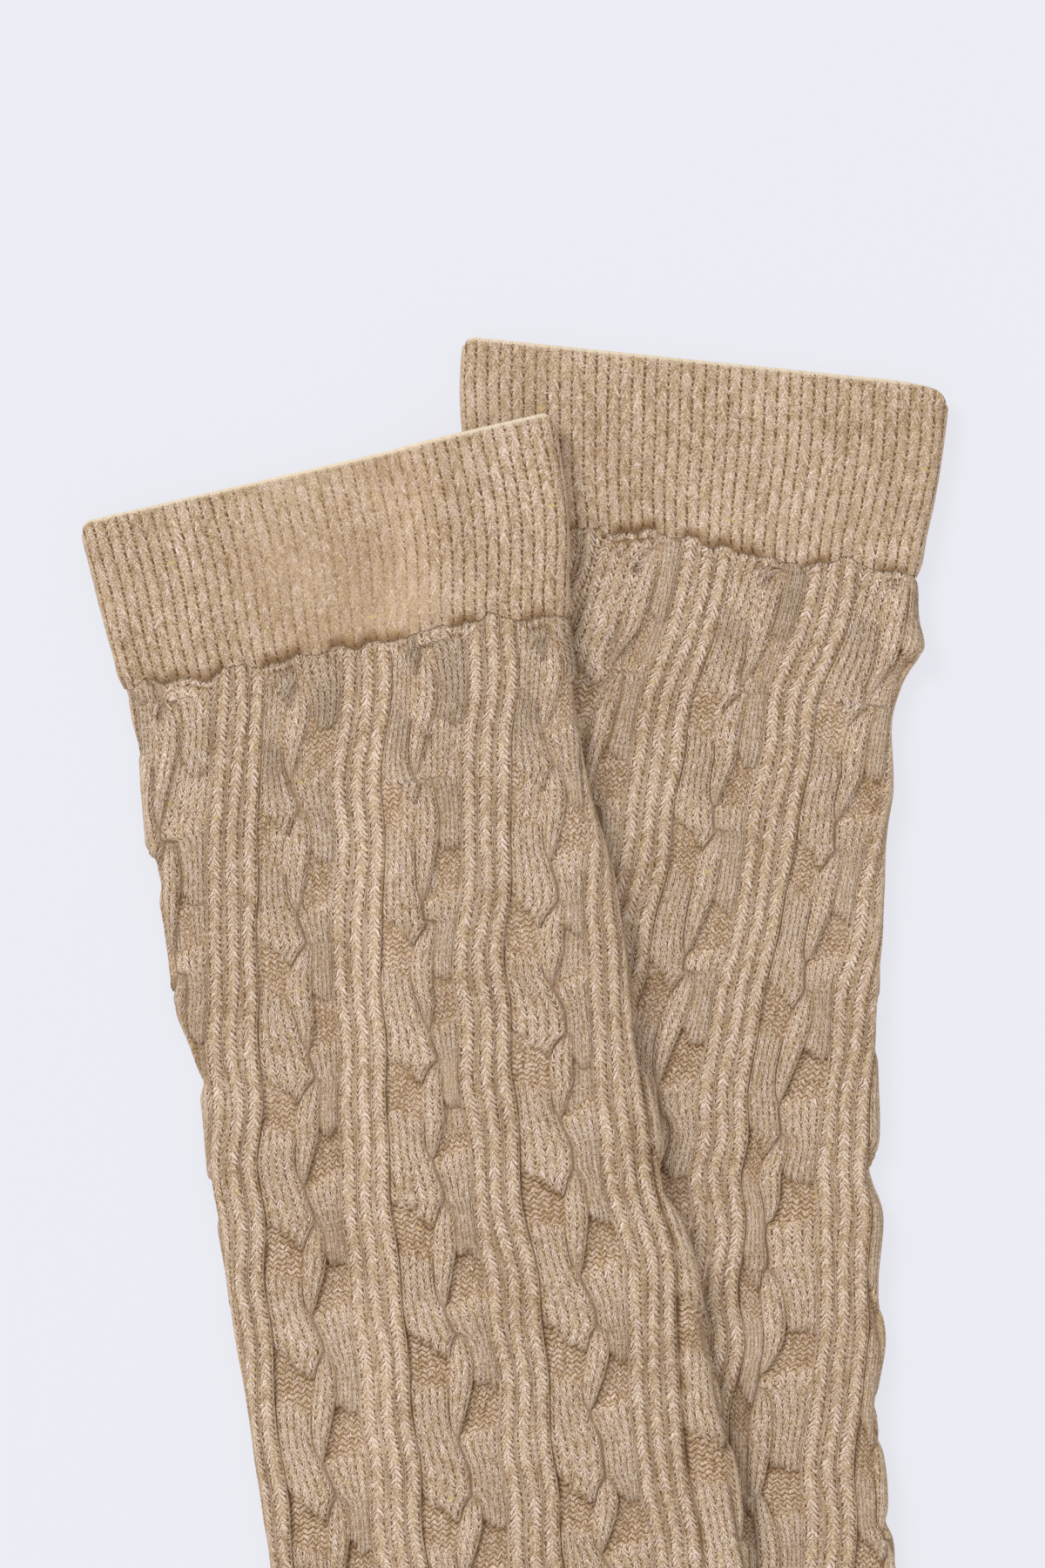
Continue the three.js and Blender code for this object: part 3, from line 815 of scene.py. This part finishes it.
def tube_piece(sock, kind, material, step, finish=None):
    """A tube's wall between two seams with the relief of its knit: the depth below the skin is
    the relief times one less the height, a quarter more by the cuff, less a bell for each bulge.
    The leg starts as a thin tongue under the cuff's lip and rises from it in a quarter circle,
    later at a notch of the joining row, whose dip is darkened with painted shade, and more slowly
    where the tube folds over."""
    first, last = PIECE_ROWS[kind]
    stop = sock.along[last] - JOIN_GAP / 2
    if kind == "leg":
        start = sock.along[first] + SEAM_GAP / 2
        v, depth, share = wall_rows(start, stop, step, TONGUE, 0.25, 0.35)
    else:
        start = sock.along[first] + JOIN_GAP / 2
        v, depth, share = wall_rows(start, stop, step, end_power=0.35)
    knit = cable_pattern(sock, v)
    s = knit["s"]
    v = v + 0 * s
    if finish:
        finish(sock, v, knit)
    gathered = 1 + 0.25 * smooth(1 - (v - 34) / 40)
    relief = LEG_RELIEF[sock.name] * gathered * (1 - knit["height"])
    relief = relief + 0.06 * (2 + waviness(41, v, s, 40.0))
    for at_v, at_s, long, wide, out in BULGES[sock.name]:
        relief = relief - out * np.exp(-((v - at_v) / long) ** 2 - ((s - at_s) / wide) ** 2)
    if kind == "leg":
        notch = seam_notch(s)
        from_lip = v - start - LIP_REACH + 0.25 - 0.8 * notch
        at_fold = smooth((np.abs(s) - 36) / 5)
        reach = 0.5 + notch + 1.4 * (1 - knit["height"]) + 2.5 * at_fold
        risen = np.sqrt(1 - (1 - np.clip(from_lip / reach, 0, 1)) ** 2)
        beneath = WELT_DEPTH + LIP_DROP + LIP + TONGUE_CLEAR
        dip = np.exp(-((from_lip + 0.1) / 0.75) ** 2) * notch
        relief = beneath + (relief - beneath) * risen + 0.6 * dip
        # Painted shade: in the dip at each notch, and a faint line along the rest of the lip
        by_lip = 0.1 * (1 - notch) * (from_lip < 0.05)
        knit["crease"] = knit["crease"] * risen + 0.8 * dip + by_lip
        knit["hollow"] = knit["hollow"] * risen
        v = v + smooth(1 - (v - start) / SEAM_FADE) * seam_wander(sock, s)
    depth = np.minimum(depth + relief * share, np.maximum(depth, WALL - LEAST_WALL))
    points = skin(sock, v, s, depth)
    turned = smooth((np.abs(s) - (sock.sections(v)[2] - FLAT) / 2 - 1) / 2)
    masks = {"hollow": knit["hollow"], "crease": np.clip(knit["crease"], 0, 0.85) * (share > 0),
             "rim": 0.0 * s, "felt": np.maximum(knit["squeeze"], 0.6 * turned)}
    piece = knit_mesh(f"{sock.name}_{kind}_knit", points, knit["wales"], v / COURSE, masks,
                      REPEAT_WALES * REPEATS)
    piece.data.materials.append(material)
    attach(piece, "root")
    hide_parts(f"{sock.name}_{kind}")
    return piece


cable_wool = heathered_knit("cable_knit", leg_slope=2.7, stitch_depth=0.17, stroke_shade=0.95,
                            streaks=1.35, gap_shade=0.85, level=0.575)
for sock in (lower, upper):
    piece = tube_piece(sock, "leg", cable_wool, LEG_STEP)


# ---- The heels -------------------------------------------
# A heel pocket is worked back and forth in plain knit over the back half of the stitches, and
# joined along a slanting line to the front half, which carries on in ribs and cables.
PLAIN_WALE = 1.45      # width of one plain stitch
PLAIN_STEP = 0.8       # from one row of the mesh to the next
WEDGE_SHARE = 0.42     # the plain wedge reaches half the tube at this share of the heel
FOLD_SPARE = 2.85      # how much longer the way round a fold is than straight across it


def plain_side(sock, v, knit):
    """Turns the pattern plain over a wedge that opens from the back of the heel to half the tube
    and stays half the tube along the foot, with a fine line of eyelets where the two meet."""
    s = knit["s"]
    start = sock.along[PIECE_ROWS["heel"][0]]
    middle = start + WEDGE_SHARE * (sock.along[PIECE_ROWS["heel"][1]] - start)
    half = sock.sections(v)[2] / 2
    reach = -half + (half + 2) * np.clip((v - start) / (middle - start), 0, 1)
    across = np.where(np.abs(s) < half, s, np.sign(s) * (2 * half + FOLD_SPARE - np.abs(s)))
    plain = smooth((reach - across) / 1.5 + 0.5)
    line = np.exp(-((reach - across) / 0.6) ** 2)
    level = 0.72 + 0.05 * waviness(51, v, s, 18.0)
    knit["height"] = knit["height"] * (1 - plain) + level * plain - 0.12 * line
    knit["wales"] = np.where(plain > 0.5, s / PLAIN_WALE, knit["wales"])
    knit["hollow"] = knit["hollow"] * (1 - plain)
    knit["squeeze"] = knit["squeeze"] * (1 - plain)
    # the eyelet line is a slight dip with painted shade in its holes
    knit["crease"] = knit["crease"] * (1 - plain) + 0.25 * line


plain_wool = heathered_knit("plain_knit", leg_slope=2.4, stitch_depth=0.17, stroke_shade=0.60,
                            streaks=1.2, gap_shade=0.75, level=0.56)
for sock in (lower, upper):
    piece = tube_piece(sock, "heel", plain_wool, PLAIN_STEP, plain_side)


# ---- The feet --------------------------------------------
# A foot goes on from the heel in one tube: the instep keeps the ribs and cables and the sole,
# on the heel's side, is plain so that it lies flat in a shoe.
for sock in (lower, upper):
    piece = tube_piece(sock, "foot", cable_wool, PLAIN_STEP, plain_side)


# ---- The toes --------------------------------------------
# A toe is a plain pocket that narrows at both sides and closes flat in one grafted line.
TOE_CLOSE = 7.0        # the front and back come together over this length
TOE_COLUMNS = 248      # of the mesh, all round
TOE_ROWS = 70          # and along the outer skin
TOE_INNER_ROWS = 14    # and the inner one
TOE_GIRTH = 160.0      # about how far it is round the toe
SIDE_LINE = 3.0        # from each side fold to the line where the toe is narrowed


def toe(sock, material):
    """The toe's wall: an outer and an inner pocket joined by a round rim at the foot's end. Near
    the tip both flatten into the closing line, by a quarter circle of their thickness."""
    first, last = PIECE_ROWS["toe"]
    start, stop = sock.along[first] + JOIN_GAP / 2, sock.along[last]
    half = WALL / 2
    outer = np.linspace(stop, start + half, TOE_ROWS)
    inner = np.linspace(start + half, stop - WALL, TOE_INNER_ROWS)
    level = np.cos(END_TURN)
    v = np.concatenate([outer, start + half - half * np.sin(END_TURN) ** 0.35, inner])[:, None]
    depth = np.concatenate([0 * outer, half * (1 - level), WALL + 0 * inner])[:, None]
    share = np.concatenate([1 + 0 * outer, smooth((1 + level) / 2), 0 * inner])[:, None]
    tip = np.concatenate([0 * outer + stop, 0 * level + stop, 0 * inner + stop - WALL])[:, None]
    turn_share = np.linspace(-0.5, 0.5, TOE_COLUMNS + 1)[None]
    s = turn_share * sock.girth(v)
    v = v + 0 * s
    left = np.clip((tip - v) / TOE_CLOSE, 0, 1)
    pinch = 1 - np.sqrt(1 - (1 - left) ** 2)
    from_fold = np.abs(np.abs(turn_share) - 0.25) * TOE_GIRTH
    side_line = np.exp(-((from_fold - SIDE_LINE) / 0.7) ** 2)
    relief = 0.40 + 0.08 * waviness(61, v, s, 16.0) + 0.30 * side_line * (left > 0)
    depth = depth + relief * share * (1 - pinch)
    depth = depth + (FLAT / 2 - depth) * pinch
    points = skin(sock, v, s, depth)
    # painted shade along the sunk line where the toe is narrowed
    masks = {"hollow": 0.0 * s, "crease": 0.25 * side_line * share, "rim": 0.0 * s, "felt": 0.0 * s}
    piece = knit_mesh(f"{sock.name}_toe_knit", points, s / PLAIN_WALE, v / COURSE, masks,
                      REPEAT_WALES * REPEATS, close_rows=False)
    piece.data.materials.append(material)
    return piece


def merged(piece, reach):
    """The piece with points that lie on each other made one."""
    joined = bmesh.new()
    joined.from_mesh(piece.data)
    bmesh.ops.remove_doubles(joined, verts=joined.verts, dist=reach)
    joined.to_mesh(piece.data)
    joined.free()
    return piece


for sock in (lower, upper):
    piece = merged(toe(sock, plain_wool), 0.00002)
    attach(piece, "root")
    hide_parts(f"{sock.name}_toe")


# ---- Floor, light and camera -----------------------------
# A pale table top that shines back a little, so that no hard shadow shows, a large soft lamp
# from the upper left, and a long lens straight above the stretch of leg below the cuffs.
TABLE_HALF = 4         # half the table's side, in metres
corners = [(TABLE_HALF * x, TABLE_HALF * y, 0) for x, y in ((-1, -1), (1, -1), (1, 1), (-1, 1))]
floor_mesh = bpy.data.meshes.new("floor")
floor_mesh.from_pydata(corners, [], [(0, 1, 2, 3)])
floor = bpy.data.objects.new("floor", floor_mesh)
bpy.context.collection.objects.link(floor)
table = bpy.data.materials.new("pale_table")
table.use_nodes = True
top = table.node_tree.nodes["Principled BSDF"]
top.inputs["Base Color"].default_value = (0.16, 0.16, 0.17, 1)
top.inputs["Roughness"].default_value = 0.9
top.inputs["Specular IOR Level"].default_value = 0.0
top.inputs["Emission Color"].default_value = (0.825, 0.836, 0.900, 1)
top.inputs["Emission Strength"].default_value = 0.82
floor_mesh.materials.append(table)

world = bpy.data.worlds.new("studio")
world.use_nodes = True
world.node_tree.nodes["Background"].inputs[0].default_value = (1.0, 0.975, 0.945, 1)
world.node_tree.nodes["Background"].inputs[1].default_value = 0.77
bpy.context.scene.world = world

lamp_data = bpy.data.lights.new("window", "AREA")
lamp_data.shape = "SQUARE"
lamp_data.size = 1.65
lamp_data.energy = 82.0
lamp = bpy.data.objects.new("window", lamp_data)
bpy.context.collection.objects.link(lamp)
lamp.location = (-2.5, 2.3, 2.9)
lamp.rotation_euler = (-lamp.location).to_track_quat("-Z", "Y").to_euler()

VIEW_LENGTH = 276.9 * MM       # the stretch of table along the frame's long side
VIEW_MIDDLE = [shift * MM for shift in lie_shift()]
LENS = 120.0
SENSOR = 36.0
camera_data = bpy.data.cameras.new("camera")
camera_data.lens = LENS
camera_data.sensor_width = SENSOR
camera = bpy.data.objects.new("camera", camera_data)
bpy.context.collection.objects.link(camera)
camera.location = (*VIEW_MIDDLE, VIEW_LENGTH * LENS / SENSOR + FLAT * MM)
bpy.context.scene.camera = camera
bpy.context.scene.view_settings.view_transform = "Standard"
